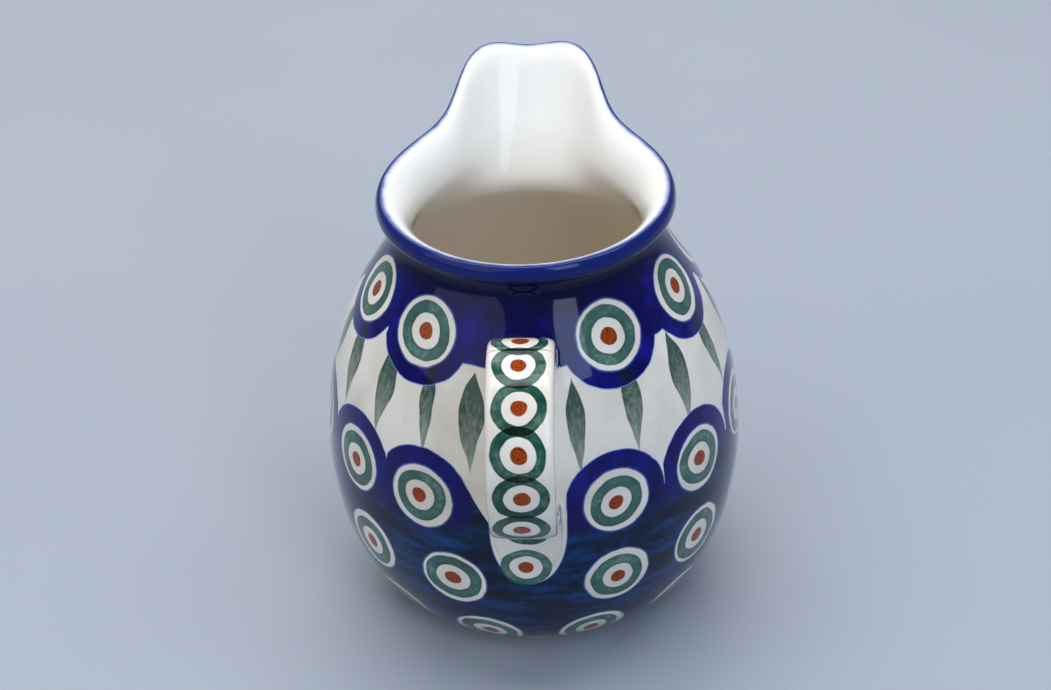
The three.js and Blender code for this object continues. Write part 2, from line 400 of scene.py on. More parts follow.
def draw_spout(maker, size, around, radius, height):
    """Moves a point of the turned body outwards and upwards, more towards the lip."""
    lip_height = size["Rim height"] - size["Lip drop"]
    climb = maker.smooth(height, size["Rim height"] - size["Spout depth"], lip_height)
    from_spout = maker.both(around, 1 - around) * FULL_TURN / size["Spout half angle"]
    share = 1 / (1 + from_spout ** size["Spout squareness"])
    hollow = maker.math("EXPONENT", -((from_spout / size["Spout dip width"]) ** 2))
    reach = share * size["Spout overhang"] * climb
    rise = share * (size["Spout rise"] - size["Spout dip"] * hollow) * climb * climb
    return radius + reach, height + rise


def turned_body_tree(material):
    tree = bpy.data.node_groups.new("turned_body", "GeometryNodeTree")
    maker = Maker(tree)
    size = maker.sizes(BODY_SIZES)
    parts = []
    arc = 0
    for curve, spacing in body_outline(maker, size):
        length = maker.node("GeometryNodeCurveLength", {}, {"Curve": curve})
        around, along, grid = sheet_of_points(maker, size["Columns around"], length, spacing)
        here = point_along(maker, curve, along)
        radius, _, height = maker.split(here)
        radius, height = draw_spout(maker, size, around, radius, height)
        angle = around * FULL_TURN
        x = -(radius * maker.math("SINE", angle))
        y = radius * maker.math("COSINE", angle) + size["Axis Y"]
        mapped = maker.joined(around, arc + along * length, 0)
        parts.append(bent_sheet(maker, grid, GLAZE_MAP, mapped, maker.joined(x, y, height)))
        arc = arc + length
    maker.finish_shape(parts, BODY_SEAM, material)
    return tree


def placed(name, data):
    """A new object in the scene."""
    thing = bpy.data.objects.new(name, data)
    bpy.context.scene.collection.objects.link(thing)
    return thing


def make_piece(name, tree, sizes):
    """Runs a shape tree on an empty mesh and keeps the result as a plain mesh."""
    piece = placed(name, bpy.data.meshes.new(name))
    modifier = piece.modifiers.new(tree.name, "NODES")
    modifier.node_group = tree
    for item in tree.interface.items_tree:
        if item.item_type == "SOCKET" and item.in_out == "INPUT" and item.name in sizes:
            modifier[item.identifier] = float(sizes[item.name])
    depsgraph = bpy.context.evaluated_depsgraph_get()
    mesh = bpy.data.meshes.new_from_object(piece.evaluated_get(depsgraph), depsgraph=depsgraph)
    piece.modifiers.clear()
    piece.data = mesh
    mesh.name = name
    finish = mesh.materials[-1]
    mesh.materials.clear()
    mesh.materials.append(finish)
    mesh.polygons.foreach_set("material_index", [0] * len(mesh.polygons))
    return piece


def new_finish(name):
    material = bpy.data.materials.new(name)
    material.use_nodes = True
    return material


body_finish = new_finish("painted_body_glaze")
strap_finish = new_finish("painted_strap_glaze")
bead_finish = new_finish("joint_glaze")

body = make_piece("jug_body", turned_body_tree(body_finish), BODY_SIZES)


class Wall:
    """The finished body as a surface to place things on."""

    def __init__(self, piece):
        mesh = piece.data
        count = len(mesh.vertices)
        places = np.empty(count * 3, np.float32)
        mesh.vertices.foreach_get("co", places)
        places = places.reshape(count, 3)
        corners = np.empty(len(mesh.loops), np.int32)
        mesh.loops.foreach_get("vertex_index", corners)
        mapped = np.empty(len(mesh.loops) * 2, np.float32)
        mesh.uv_layers[GLAZE_MAP].data.foreach_get("uv", mapped)
        arcs = np.zeros(count)
        arcs[corners] = mapped.reshape(-1, 2)[:, 1]
        behind = (np.abs(places[:, 0]) < 0.001 * MM) & (places[:, 1] < axis_y - 1 * MM)
        order = np.argsort(arcs[behind])
        self.arcs = arcs[behind][order]
        self.radii = (axis_y - places[behind][:, 1])[order]
        self.heights = places[behind][:, 2][order]
        self.crest_arc = float(self.arcs[self.heights.argmax()])
        rounding = BODY_SIZES["Foot rounding"]
        above_foot = (self.heights > rounding * 0.99) & (self.radii > BODY_SIZES["Foot radius"] * 0.999)
        self.foot_arc = float(self.arcs[above_foot].min()) - rounding
        self.outside = (self.arcs > self.foot_arc) & (self.arcs < self.crest_arc)
        self.tree = BVHTree.FromPolygons(
            [tuple(map(float, place)) for place in places],
            [tuple(face.vertices) for face in mesh.polygons],
        )

    def at(self, rise):
        """Radius and height at a distance up the outside from the foot, in metres."""
        arc = self.foot_arc + rise
        return float(np.interp(arc, self.arcs, self.radii)), float(np.interp(arc, self.arcs, self.heights))

    def radius_at(self, height):
        climbing = self.outside & (self.heights < BODY_SIZES["Rim height"] - BODY_SIZES["Neck drop"])
        return float(np.interp(height, self.heights[climbing], self.radii[climbing]))

    def nearest(self, place):
        """Nearest point of the surface, its outward direction, and the signed distance."""
        point, normal, _, _ = self.tree.find_nearest(place)
        return point, normal, (Vector(place) - point).dot(normal)


wall = Wall(body)

# ---- Bending the strap ----

LOOP_RADIUS = 26.8 * MM
LOOP_TOP = 115.4 * MM
LOOP_MIDDLE = LOOP_TOP - LOOP_RADIUS
UPPER_ROOT_HEIGHT = BODY_SIZES["Rim height"] - 25.5 * MM
LOWER_ROOT_HEIGHT = 37 * MM
LOWER_ROOT_SEAT = 3.5 * MM
ROOT_FLARE = 1.08
ROOT_FLARE_DEPTH = 9 * MM
ROOT_SEAT = 2.4 * MM

STRAP_SIZES = {
    "Axis Y": axis_y,
    "Loop radius": LOOP_RADIUS,
    "Loop centre radius": handle_reach - LOOP_RADIUS,
    "Loop top height": LOOP_TOP,
    "Loop end": math.radians(76),
    "Strap width": 17.3 * MM,
    "Strap thickness": 7 * MM,
    "Strap squareness": 5.0,
    "Root depth": 7.8 * MM,
    "Upper root radius": wall.radius_at(UPPER_ROOT_HEIGHT),
    "Upper root height": UPPER_ROOT_HEIGHT,
    "Lower root radius": wall.radius_at(LOWER_ROOT_HEIGHT) - LOWER_ROOT_SEAT,
    "Lower root height": LOWER_ROOT_HEIGHT,
    "Tongue length": 17 * MM,
    "Tongue tip": 0.006,
    "Columns around": 96.0,
}


def strap_path(maker, size):
    """The strap's middle line, as radius and height: out of the shoulder, round the loop and
    down the belly."""
    middle = size["Loop radius"] - size["Strap thickness"] / 2
    centre = size["Loop centre radius"]
    centre_height = size["Loop top height"] - size["Loop radius"]
    top = centre_height + middle
    upper, upper_height = size["Upper root radius"], size["Upper root height"]
    span = centre - upper
    climb = top - upper_height
    slope = maker.math("ARCTAN2", climb * HANDLE_RISE, span * (1 - HANDLE_RISE))
    inner = upper - size["Root depth"] * maker.math("COSINE", slope)
    inner_height = upper_height - size["Root depth"] * maker.math("SINE", slope)
    end_sine = maker.math("SINE", size["Loop end"])
    end_cosine = maker.math("COSINE", size["Loop end"])
    end = centre + middle * end_cosine
    end_height = centre_height - middle * end_sine
    fall = end_height - size["Lower root height"]
    lower, lower_height = size["Lower root radius"], size["Lower root height"]
    turned = maker.node(
        "GeometryNodeCurveArc",
        {"mode": "RADIUS"},
        {
            "Resolution": LOOP_STEPS,
            "Radius": middle,
            "Start Angle": math.pi / 2,
            "Sweep Angle": -(size["Loop end"] + math.pi / 2),
        },
    )
    flat_x, flat_y, _ = maker.split(maker.node("GeometryNodeInputPosition"))
    stood = maker.joined(flat_x + centre, 0, flat_y + centre_height)
    loop = maker.node("GeometryNodeSetPosition", {}, {"Geometry": turned, "Position": stood})
    return [
        straight(maker, (inner, 0, inner_height), (upper, 0, upper_height)),
        bezier(
            maker,
            (upper, 0, upper_height),
            (upper + span * (1 - HANDLE_RISE), 0, upper_height + climb * HANDLE_RISE),
            (centre - span * HANDLE_RUN, 0, top),
            (centre, 0, top),
        ),
        loop,
        bezier(
            maker,
            (end, 0, end_height),
            (end - fall * LOOP_PULL * end_sine, 0, end_height - fall * LOOP_PULL * end_cosine),
            (lower + size["Strap thickness"] / 3, 0, lower_height + fall * TONGUE_PULL),
            (lower, 0, lower_height),
        ),
    ]


def rounded(maker, wave, half, squareness):
    """One side of a rounded rectangle: a wave made squarer, as wide as half each way."""
    return maker.math("SIGN", wave) * abs(wave) ** (2 / squareness) * half


def strap_tree(material):
    tree = bpy.data.node_groups.new("bent_strap", "GeometryNodeTree")
    maker = Maker(tree)
    size = maker.sizes(STRAP_SIZES)
    parts = []
    distance = 0
    for curve in strap_path(maker, size):
        length = maker.node("GeometryNodeCurveLength", {}, {"Curve": curve})
        around, along, grid = sheet_of_points(maker, size["Columns around"], length, STRAP_ROWS)
        here = point_along(maker, curve, along)
        radius, _, height = maker.split(here)
        onward, _, upward = maker.split(here.also("Tangent"))
        angle = (0.5 - around) * FULL_TURN
        half_width = size["Strap width"] / 2
        half_thickness = size["Strap thickness"] / 2
        across = rounded(maker, maker.math("SINE", angle), half_width, size["Strap squareness"])
        out = rounded(maker, maker.math("COSINE", angle), half_thickness, size["Strap squareness"])
        radius = radius - upward * out
        height = height + onward * out
        climb = (height - size["Lower root height"]) / size["Tongue length"]
        share = maker.node("ShaderNodeClamp", {}, {"Value": climb, "Min": size["Tongue tip"], "Max": 1})
        tongue = maker.math("SQRT", 1 - (1 - share) ** 2)
        bend = -maker.math("ARCTAN2", upward, onward)
        bend = bend + (bend < -1) * FULL_TURN
        travelled = distance + along * length + bend * half_thickness
        mapped = maker.joined(around, travelled, 0)
        place = maker.joined(across * tongue, size["Axis Y"] - radius, height)
        parts.append(bent_sheet(maker, grid, STRAP_MAP, mapped, place))
        distance = distance + length
    maker.finish_shape(parts, STRAP_SEAM, material)
    return tree


strap = make_piece("strap_handle", strap_tree(strap_finish), STRAP_SIZES)


def widen_at_wall(piece, flare, depth):
    """Makes the strap wider towards the wall that it is pressed on."""
    for vertex in piece.data.vertices:
        away = axis_y - vertex.co.y - wall.radius_at(vertex.co.z)
        share = min(max(away / depth, 0), 1)
        nearness = 1 - share * share * (3 - 2 * share)
        lowness = 1 if vertex.co.z < LOOP_MIDDLE else 0
        vertex.co.x *= 1 + (flare - 1) * nearness * lowness


def seat_in_wall(piece, depth):
    """Ends the strap inside the wall, at an even depth under its outside."""
    for vertex in piece.data.vertices:
        point, normal, signed = wall.nearest(vertex.co)
        if signed < -depth:
            vertex.co = point - normal * depth


def close_ends(piece):
    """Closes the strap's two ends, which are hidden in the wall."""
    shape = bmesh.new()
    shape.from_mesh(piece.data)
    rims = [edge for edge in shape.edges if edge.is_boundary]
    caps = bmesh.ops.holes_fill(shape, edges=rims, sides=0)["faces"]
    bmesh.ops.poke(shape, faces=caps)
    bmesh.ops.recalc_face_normals(shape, faces=shape.faces)
    shape.to_mesh(piece.data)
    shape.free()


widen_at_wall(strap, ROOT_FLARE, ROOT_FLARE_DEPTH)


def strap_lines(piece):
    """The strap's skin as lines that run along it, one for each column."""
    mesh = piece.data
    lines = {}
    uv = mesh.uv_layers[STRAP_MAP].data
    columns = int(STRAP_SIZES["Columns around"])
    seen = {}
    for loop in mesh.loops:
        around, along = uv[loop.index].uv
        column = round(around * columns) % columns
        seen[loop.vertex_index] = (column, along)
    for index, (column, along) in seen.items():
        lines.setdefault(column, []).append((along, index))
    vertices = mesh.vertices
    return [[vertices[index].co.copy() for _, index in sorted(lines[column])] for column in range(columns)]


def joint_places(lines, upper):
    """Where each line of the skin goes into the wall, with the line from there outwards."""
    places = []
    for line in lines:
        inward = line[: len(line) // 2][::-1] if upper else line[len(line) // 2 :]
        before = None
        for number, point in enumerate(inward):
            signed = wall.nearest(point)[2]
            if signed <= 0:
                share = before / (before - signed)
                joint = inward[number - 1].lerp(point, share)
                outward = [joint] + inward[:number][::-1]
                places.append(outward)
                break
            before = signed
    return places


def along_line(line, distance):
    for first, second in zip(line, line[1:]):
        step = (second - first).length
        if step > distance:
            return first.lerp(second, distance / step)
        distance -= step
    return line[-1]


BEAD_DEPTH = 0.9 * MM
BEAD_SINK = 0.05 * MM
BEAD_STEPS = 8
UPPER_BEAD_WIDTH = 1.1 * MM
LOWER_BEAD_WIDTH = 1.7 * MM
SHARP_EDGE = math.radians(40)


def joint_bead(name, lines, upper, width):
    """The slip wiped round a joint: a ring with a hollow face between strap and wall."""
    rings = joint_places(lines, upper)
    count = len(rings)
    joints = [ring[0] for ring in rings]
    centre = sum(joints, Vector()) / count
    points = []
    for number, ring in enumerate(rings):
        joint = ring[0]
        rise = along_line(ring, width)
        skin = (rise - joint).normalized()
        aside = (joints[(number + 1) % count] - joints[number - 1]).normalized()
        _, normal, _ = wall.nearest(joint)
        across = aside.cross(normal)
        if across.dot(joint - centre) < 0:
            across = -across
        outward = aside.cross(skin)
        if outward.dot(across + normal) < 0:
            outward = -outward
        foot, foot_normal, _ = wall.nearest(joint + across.normalized() * width)
        rise -= outward * BEAD_SINK
        foot -= foot_normal * BEAD_SINK
        for step in range(BEAD_STEPS + 1):
            share = step / BEAD_STEPS
            points.append(rise.lerp(joint, share).lerp(joint.lerp(foot, share), share))
        points.append(joint - normal * BEAD_DEPTH - outward.normalized() * BEAD_DEPTH)
    around = BEAD_STEPS + 2
    faces = []
    for ring in range(count):
        onward = (ring + 1) % count
        for step in range(around):
            beside = (step + 1) % around
            here, there = ring * around, onward * around
            faces.append((here + step, here + beside, there + beside, there + step))
    mesh = bpy.data.meshes.new(name)
    mesh.from_pydata([tuple(point) for point in points], [], faces)
    mesh.polygons.foreach_set("use_smooth", [True] * len(mesh.polygons))
    shape = bmesh.new()
    shape.from_mesh(mesh)
    bmesh.ops.recalc_face_normals(shape, faces=shape.faces)
    for edge in shape.edges:
        edge.smooth = edge.calc_face_angle() < SHARP_EDGE
    shape.to_mesh(mesh)
    shape.free()
    layer = mesh.uv_layers.new(name=BEAD_MAP)
    for loop in mesh.loops:
        ring, step = divmod(loop.vertex_index, around)
        layer.data[loop.index].uv = (min(step / BEAD_STEPS, 1), ring / count)
    mesh.materials.append(bead_finish)
    return placed(name, mesh)


lines = strap_lines(strap)
upper_bead = joint_bead("upper_joint_bead", lines, True, UPPER_BEAD_WIDTH)
lower_bead = joint_bead("lower_joint_bead", lines, False, LOWER_BEAD_WIDTH)
seat_in_wall(strap, ROOT_SEAT)
close_ends(strap)

# ---- Colours of the painting and the clay ----

CREAM = colour(232, 228, 220)
CREAM_SHADE = colour(216, 210, 200)
INSIDE_WHITE = colour(240, 239, 236)
# A warmer, darker white: painted shade deep inside the jug.
INSIDE_PAINTED_SHADE = colour(232, 221, 204)
CLAY = colour(205, 192, 172)
CLAY_GRIT = colour(168, 150, 128)
COBALT_DEEP = colour(2, 2, 82)
COBALT_THIN = colour(12, 18, 126)
COBALT_FRINGE = colour(104, 132, 198)
NAVY_DEEP = colour(0, 22, 46)
NAVY_THIN = colour(0, 58, 120)
# The lip roll's blue, lighter than its own paint as a painted sheen.
LIP_BLUE_AND_SHEEN = colour(17, 35, 112)
# The neck's deep blue, darkened further as painted shade in the hollow under the lip.
NECK_BLUE_AND_SHADE = colour(1, 9, 44)
TEAL_LINE = colour(6, 66, 100)
SAGE = colour(44, 98, 90)
SAGE_DARK = colour(9, 64, 60)
SAGE_PALE = colour(118, 150, 138)
LEAF_DARK = colour(10, 66, 54)
LEAF_PALE = colour(142, 154, 142)
LEAF_THROUGH_BLUE = colour(6, 22, 40)
RUST = colour(158, 66, 16)
RUST_DARK = colour(96, 34, 14)

# ---- Places and sizes of the painting, in millimetres ----

# How far up the wall each row of eyes is, and where its eyes stand, in degrees from the handle.
EYE_ROWS = [
    (111.6, (31.8, 70.9, 107, 143, 179, 215, 251, 287, 321.8)),
    (66.4, (24.4, 53.4, 81.7, 109, 137, 165, 193, 221, 249, 277, 304.5, 330.1)),
    (40.7, (24.2, 52.4, 81, 110, 139, 167, 196, 224, 253, 281, 309.4, 338.6)),
    (15.2, (19.2, 52, 85, 117, 150, 182, 215, 248, 281, 313, 345.4)),
]
LEAF_TURNS = (15, 33, 53, 72.7, 92, 111, 130, 149, 168, 187, 206, 225, 243, 262, 278, 293.6, 312.3, 329, 344)

# Where the strap's rings are stamped, from the top of the loop towards the tongue.
RING_PLACES = (-29, -17, -4.9, 5.9, 18.2, 29.8, 41.8, 54.5, 68, 84.5)
TONGUE_RING_PLACE = 100.5
TONGUE_RING_ASIDE = -0.9
CHAIN_ASIDE = 0.3
CHAIN_START, CHAIN_END = -60, 140
OUTER_SHARE = 0.25

# The two stamps: radii of the green's outside, the white inside it and the dot, then how the
# green varies: streaks, blotches, how much each does, how it thickens to its edges, how dense.
EYE_STAMP = {
    "green": 7.8,
    "white": 4.6,
    "dot": 2.25,
    "streaks": (0.9, 3, 0.6),
    "blotches": (0.16, 2),
    "streakiness": 0.9,
    "blotchiness": 1.3,
    "edge power": 3,
    "density": 0.5,
}
STRAP_STAMP = {
    "green": 7.05,
    "white": 4.45,
    "dot": 2.15,
    "streaks": (0.8, 3, 0.6),
    "blotches": (0.17, 2),
    "streakiness": 1.0,
    "blotchiness": 1.6,
    "edge power": 4,
    "density": 0.45,
}
EDGE_THICKENING = 0.3
STAMP_COVER = 0.96
EYE_DISC = 9.35
HALO_WIDTH, HALO_COVER = 0.35, 0.6
HAND_WAVER = 0.7
STAMP_DRIFT = 2.6

PAINT_EDGE = 0.16
FRINGE_EDGE = 0.42
SCALLOP_RADII = (14.2, 14.8)
UPPER_FIELD = 106.5
LOWER_FIELD = 66
FIELD_SLOPE = 1.7
FIELD_SLOPE_START = 12.4
FIELD_SLOPE_SHIFT = 2.4
FIELD_SLOPE_TOP = 5
FIELD_JOIN = 3
BEHIND_HANDLE_DEPTH = (-20, -30)
BEHIND_HANDLE_WIDTH = (22, 18)
RESERVE_HALF_WIDTH = 10.3
RESERVE_SHOULDER = 54
RESERVE_END = 36.0
BRUSH_REACH = 2.4

LEAF_TOP = 105.5
LEAF_LENGTH = 28.5
LEAF_DROP = 5
LEAF_WIDTH = 2.9
LEAF_LEAN, LEAF_WAVE = 6, 2.5
LEAF_SHAPE, LEAF_POINT = 0.76, 1.6
LEAF_COVER, LEAF_COVER_UNDER_BLUE = 0.94, 0.75
# How a leaf leans, how broad it is and how low it hangs, for the leaves beside the handle.
LEAVES_BY_HANDLE = {0: (0.55, 0.2, 0.95), 1: (0.4, 0.5, 0.5), -2: (0.62, 0.1, 0.5), -1: (0.6, 1.0, 0.6)}

# How far below the lip the blue of the neck, dark also as painted shade under the lip, and the blue of the
# lip, lightened as a painted sheen, begin and end.
NECK_START, NECK_END, NECK_COVER = 25, 14, 0.85
LIP_START, LIP_END, LIP_COVER = 6.5, 3, 0.8
VIOLET_START, VIOLET_END = 54, 66
HIGH_BLUE = 90
LIP_LINES = ((12.6, 0.55), (11.0, 0.8), (9.4, 0.9))
LINE_HALF_WIDTH, LINE_EDGE = 0.16, 0.14

OVER_LIP_START, OVER_LIP_END = 0.1, 0.7
BLEED_WIDTH, BLEED_COVER = 0.5, 0.6
RIM_REACH = 0.8
THROAT_TOP = 122
PAINTED_SHADE_DEPTH = 32
FOOT_LINE, FOOT_LINE_BELOW, FOOT_LINE_ABOVE = 1.7, 0.25, 0.1
RECESS_GLAZE = -12

# Textures: waves to a millimetre, how many finer layers, and how strong those are.
HAND_TEXTURE = (0.24, 2, 0.5)
DRIFT_TEXTURE = (0.05, 0, 0.5)
BRUSH_TEXTURE = (0.1, 1)
STROKE_TEXTURE = (1.0, 4, 0.6)
STROKE_GRAIN = (0.7, 3, 0.6)
LINE_TEXTURE = (0.05, 2)
LEAF_TEXTURE = (0.09, 1)
BRISTLE_TEXTURE = (1.0, 3, 0.6)
LEAF_GRAIN = (1.6, 2, 0.6)
RUST_TEXTURE = (1.4, 3, 0.7)
CLOUD_TEXTURE = (0.06, 3)
SPECK_TEXTURE = (2.6, 1, 0.3)
RIM_TEXTURE = (0.2, 2)
CLAY_TEXTURE = (1.8, 3, 0.7)
PEEL_TEXTURE = (0.35, 2)
FINE_TEXTURE = (2.2, 2)
GRIT_TEXTURE = (3.0, 3, 0.7)
GLOSS_TEXTURE = (0.12, 2)
BEAD_TEXTURE = (0.5,)

# Waves to a millimetre round and up the wall: long level strokes, and upright dabs and bristles.
NAVY_STROKES = (0.05, 0.22)
VIOLET_STROKES = (0.16, 0.07)
BRISTLES = (1.1, 0.07)

PEEL_HEIGHT, FINE_HEIGHT, PAINT_HEIGHT, GRIT_HEIGHT = 0.06, 0.006, 0.02, 0.12
BUMP_STRENGTH = 0.5
GLAZE_ROUGHNESS, GLAZE_ROUGHNESS_SPREAD, CLAY_ROUGHNESS = 0.09, 0.06, 0.82

# ---- The painting on the body ----


def nearest_place_stops(turns, habits=None):
    """Stops that give, at each share of a turn, where the nearest of a row of marks stands."""
    places = []
    for number, degrees in enumerate(turns):
        share = (degrees / 360 + 0.5) % 1
        habit = habits[number] if habits else (0, 0, 1)
        places.append((share, (share, *habit)))
    places.sort()
    stops = []
    before = places[-1][0] - 1
    for share, mark in places:
        stops.append(((before + share) / 2 % 1, mark))
        before = share
    stops.sort()
    return [(0.0, stops[-1][1]), *stops]


class Brush(Maker):
    """Adds the nodes of a painted finish, and knows where a point of it is, in millimetres."""

    def __init__(self, material):
        super().__init__(material.node_tree)
        self.place = self.scaled(self.node("ShaderNodeTexCoord", {}, {}, "Object"), 1 / MM)
        self.x, self.y, self.height = self.split(self.place)
        self.y = self.y - axis_y / MM
        self.wavy = self.strayed(self.place, HAND_TEXTURE, HAND_WAVER)
        self.shifted = self.strayed(self.wavy, DRIFT_TEXTURE, STAMP_DRIFT)

    def strayed(self, place, texture, reach):
        """The place moved a little each way, as a hand strays."""
        stray = self.vector("SUBTRACT", self.noise(self.place, *texture, "Color"), (0.5, 0.5, 0.5))
        return self.vector("ADD", place, self.scaled(stray, reach))

    def texture(self, texture):
        return self.noise(self.place, *texture)

    def stretched(self, waves, texture):
        """A texture with other waves round the wall than up it."""
        x, y, z = self.split(self.place)
        level, upright = waves
        return self.noise(self.joined(x * level, y * level, z * upright), *texture)


def nearest_mark(brush, turn, stops):
    """What the nearest mark of a row says of itself, at a share of a turn."""
    settings = {"stops": stops, "interpolation": "CONSTANT"}
    return brush.node("ShaderNodeValToRGB", settings, {"Fac": turn})


def eye_distances(brush, turn, rise, turns):
    """Distances to the middle of the nearest eye's disc and of its ring."""
    radius, height = wall.at(rise * MM)
    share, _, _ = brush.split(nearest_mark(brush, turn, nearest_place_stops(turns)))
    angle = (share - 0.5) * FULL_TURN
    x = brush.math("SINE", angle) * (radius / MM)
    y = axis_y / MM - brush.math("COSINE", angle) * (radius / MM)
    middle = brush.joined(x, y, height / MM)
    disc = brush.vector("DISTANCE", brush.wavy, middle, out="Value")
    ring = brush.vector("DISTANCE", brush.shifted, middle, out="Value")
    return disc, ring


def stamp_green(brush, distance, stamp):
    """The green of a stamped ring: thinner in its middle, darker at its edges."""
    streak = brush.texture(stamp["streaks"])
    blotch = brush.texture(stamp["blotches"])
    middle = (stamp["green"] + stamp["white"]) / 2
    edge = abs(distance - middle) / ((stamp["green"] - stamp["white"]) / 2)
    depth = edge ** stamp["edge power"] * EDGE_THICKENING + (streak - 0.5) * stamp["streakiness"]
    depth = depth + (blotch - 0.5) * stamp["blotchiness"] + stamp["density"]
    stops = [(0.0, SAGE_PALE), (0.45, SAGE), (1.0, SAGE_DARK)]
    return brush.node("ShaderNodeValToRGB", {"stops": stops}, {"Fac": depth})


def stamp_ring(brush, distance, stamp):
    """How much of the green ring is here."""
    outside = brush.inside(distance, stamp["green"], PAINT_EDGE)
    return outside * brush.smooth(distance, stamp["white"] - PAINT_EDGE, stamp["white"] + PAINT_EDGE)


def rust_paint(brush):
    return brush.mix(brush.smooth(brush.texture(RUST_TEXTURE), 0.42, 0.68), RUST, RUST_DARK)


def stamp_on(brush, base, distance, stamp):
    """Stamps a ring and its dot on the ground that is there."""
    green = stamp_green(brush, distance, stamp)
    base = brush.mix(stamp_ring(brush, distance, stamp) * STAMP_COVER, base, green)
    return brush.mix(brush.inside(distance, stamp["dot"], PAINT_EDGE), base, rust_paint(brush))


def leaf_habits():
    """How each leaf leans, how broad it is and how low it hangs."""
    count = len(LEAF_TURNS)
    habits = [(0.5 + 0.35 * math.sin(2.1 * n + 1), 0.5 + 0.4 * math.sin(1.3 * n), 0.5) for n in range(count)]
    for number, habit in LEAVES_BY_HANDLE.items():
        habits[number] = habit
    return habits


def leaf_paint(brush, turn, rise):
    """The hanging leaves: how much of one is here, and its colour."""
    leaf = nearest_mark(brush, turn, nearest_place_stops(LEAF_TURNS, leaf_habits()))
    share, lean, breadth = brush.split(leaf)
    around = (turn - share + 0.5) % 1 - 0.5
    radius = brush.vector("LENGTH", brush.joined(brush.x, brush.y, 0), out="Value")
    wave = brush.texture(LEAF_TEXTURE)
    drop = (leaf.also("Alpha") - 0.5) * LEAF_DROP
    down = (LEAF_TOP - drop - rise) / LEAF_LENGTH
    held = brush.node("ShaderNodeClamp", {}, {"Value": down, "Min": 0.001, "Max": 0.999})
    bend = (lean - 0.5) * (held - 0.5) * LEAF_LEAN + (wave - 0.5) * LEAF_WAVE
    across = abs(around * FULL_TURN * radius - bend)
    half = brush.math("SINE", held**LEAF_SHAPE * math.pi) ** LEAF_POINT * LEAF_WIDTH * (0.76 + breadth * 0.5)
    there = brush.inside(across - half, 0, PAINT_EDGE) * brush.inside(abs(down - 0.5), 0.5, 0.004)
    bristles = brush.stretched(BRISTLES, BRISTLE_TEXTURE)
    grain = brush.texture(LEAF_GRAIN)
    edge = (across / (half + 0.01)) ** 5
    depth = 1.3 - down * 1.35 + (bristles - 0.5) * 1.5 + (grain - 0.5) * 0.4 + edge * 0.3
    tint = brush.node("ShaderNodeValToRGB", {"stops": [(0.0, LEAF_PALE), (1.0, LEAF_DARK)]}, {"Fac": depth})
    return there, tint


def brushed_blue(brush, waves, deep, thin):
    """Deep blue brushwork with thinner and thicker places."""
    strokes = brush.stretched(waves, STROKE_TEXTURE)
    grain = brush.texture(STROKE_GRAIN)
    return brush.mix(brush.smooth(strokes * 0.8 + grain * 0.2, 0.42, 0.68), deep, thin)


def violet_paint(brush):
    return brushed_blue(brush, VIOLET_STROKES, COBALT_DEEP, COBALT_THIN)


def navy_paint(brush):
    return brushed_blue(brush, NAVY_STROKES, NAVY_DEEP, NAVY_THIN)


def glazed_surface(brush, base, glazed, paint_height):
    """Clear gloss over the painting; bare clay where there is no glaze."""
    height = brush.texture(PEEL_TEXTURE) * PEEL_HEIGHT + brush.texture(FINE_TEXTURE) * FINE_HEIGHT
    height = height + paint_height * PAINT_HEIGHT
    height = height + (1 - glazed) * brush.texture(GRIT_TEXTURE) * GRIT_HEIGHT
    relief = {"Strength": BUMP_STRENGTH, "Distance": 1 * MM, "Height": height}
    bump = brush.node("ShaderNodeBump", {}, relief)
    gloss = GLAZE_ROUGHNESS + brush.texture(GLOSS_TEXTURE) * GLAZE_ROUGHNESS_SPREAD
    roughness = brush.node("ShaderNodeMix", {"data_type": "FLOAT"}, {0: glazed, 2: CLAY_ROUGHNESS, 3: gloss})
    brush.surface(
        {
            "Base Color": base,
            "Roughness": roughness,
            "Normal": bump,
            "Coat Weight": glazed,
            "Coat Roughness": 0.03,
            "Coat IOR": 1.27,
            "Specular IOR Level": 0.05,
        }
    )


def cream_glaze(brush):
    """Cream with soft clouds, and a few specks of the clay showing through."""
    cloud = brush.texture(CLOUD_TEXTURE)
    speck = brush.texture(SPECK_TEXTURE)
    base = brush.mix(brush.smooth(cloud, 0.35, 0.7), CREAM, CREAM_SHADE)
    return brush.mix(brush.smooth(speck, 0.73, 0.78) * 0.5, base, CLAY_GRIT)


def beside_reserve(brush):
    """1 away from the tongue of white left for the handle, 0 on it."""
    low = (RESERVE_SHOULDER - brush.height) / (RESERVE_SHOULDER - RESERVE_END)
    round_off = brush.node("ShaderNodeClamp", {}, {"Value": low, "Min": 0, "Max": 1})
    reserve = RESERVE_HALF_WIDTH * brush.math("SQRT", 1 - round_off * round_off)
    wide = brush.smooth(abs(brush.x) - reserve, -FRINGE_EDGE, FRINGE_EDGE)
    under = brush.smooth(brush.height, RESERVE_END + FRINGE_EDGE, RESERVE_END)
    return brush.either(brush.either(wide, under), brush.y > 0)


def strap_place(piece, distance):
    """The map distance of the loop's top, and the point of the strap's outside that lies a
    distance from there towards the tongue, in millimetres."""
    mesh = piece.data
    uv = mesh.uv_layers[STRAP_MAP].data
    middle = [loop for loop in mesh.loops if abs(uv[loop.index].uv.x - 0.5) < 0.001]
    middle = [loop for loop in middle if uv[loop.index].uv.y > 0]
    highest = max(middle, key=lambda loop: mesh.vertices[loop.vertex_index].co.z)
    start = uv[highest.index].uv.y
    found = min(middle, key=lambda loop: abs(uv[loop.index].uv.y - start - distance * MM))
    return start, mesh.vertices[found.vertex_index].co / MM


strap_top, tongue_ring_middle = strap_place(strap, TONGUE_RING_PLACE)


def tongue_ring(brush, base):
    """The last ring of the strap, stamped over the tongue, the slip and the wall alike."""
    middle = brush.joined(TONGUE_RING_ASIDE, tongue_ring_middle.y, tongue_ring_middle.z)
    distance = brush.vector("DISTANCE", brush.wavy, middle, out="Value")
    return stamp_on(brush, base, distance, STRAP_STAMP)


